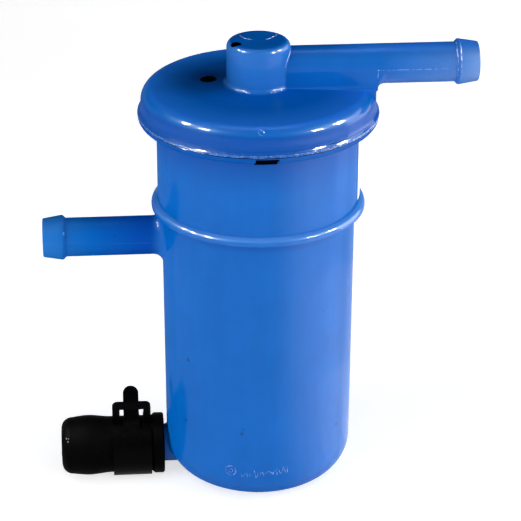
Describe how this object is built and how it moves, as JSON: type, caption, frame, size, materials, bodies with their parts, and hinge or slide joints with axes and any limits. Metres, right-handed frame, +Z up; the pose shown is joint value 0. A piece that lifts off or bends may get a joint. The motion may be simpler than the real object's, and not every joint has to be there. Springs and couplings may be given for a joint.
{
  "type": "inline fuel filter",
  "caption": "Inline fuel filter: upright moulded plastic canister with side inlet nipple, top outlet nipple on a welded cover, and a low drain spigot with clamped rubber cap.",
  "frame": {"origin": "centre of the flat base of the housing", "axes": "+Z up along the canister's axis; +X along the outlet nipple; -X along the inlet nipple and the drain spigot; +Y completes the right-handed frame"},
  "size_m": [0.1047, 0.0576, 0.1165],
  "materials": {
    "blue_plastic": "moulded, semi-gloss",
    "cap_rubber": "smooth moulded rubber",
    "clamp_steel": "black coated spring steel",
    "label_paper": "plain white film",
    "end_cap_plastic": "moulded",
    "seal_rubber": "smooth",
    "potting": "cast adhesive",
    "filter_paper": "pleated paper",
    "core_plastic": "moulded"
  },
  "bodies": {
    "filter": {"housing": "blue_plastic", "cover": "blue_plastic", "label": "label_paper", "lower_end_cap": "end_cap_plastic", "upper_end_cap": "end_cap_plastic", "outlet_o_ring": "seal_rubber", "lower_potting": "potting", "upper_potting": "potting", "filter_media": "filter_paper", "media_seam": "potting", "core_tube": "core_plastic"},
    "drain_cap": {"drain_cap": "cap_rubber"},
    "cap_clamp": {"cap_clamp": "clamp_steel"}
  },
  "joints": [
    {"name": "cap_pull", "type": "slide", "parent": "filter", "child": "drain_cap", "axis": [-1, 0, 0], "range_m": [0, 0.0235]},
    {"name": "clamp_turn", "type": "hinge", "parent": "drain_cap", "child": "cap_clamp", "pos_m": [-0.03215, 0, 0.00555], "axis": [-1, 0, 0], "continuous": true}
  ]
}
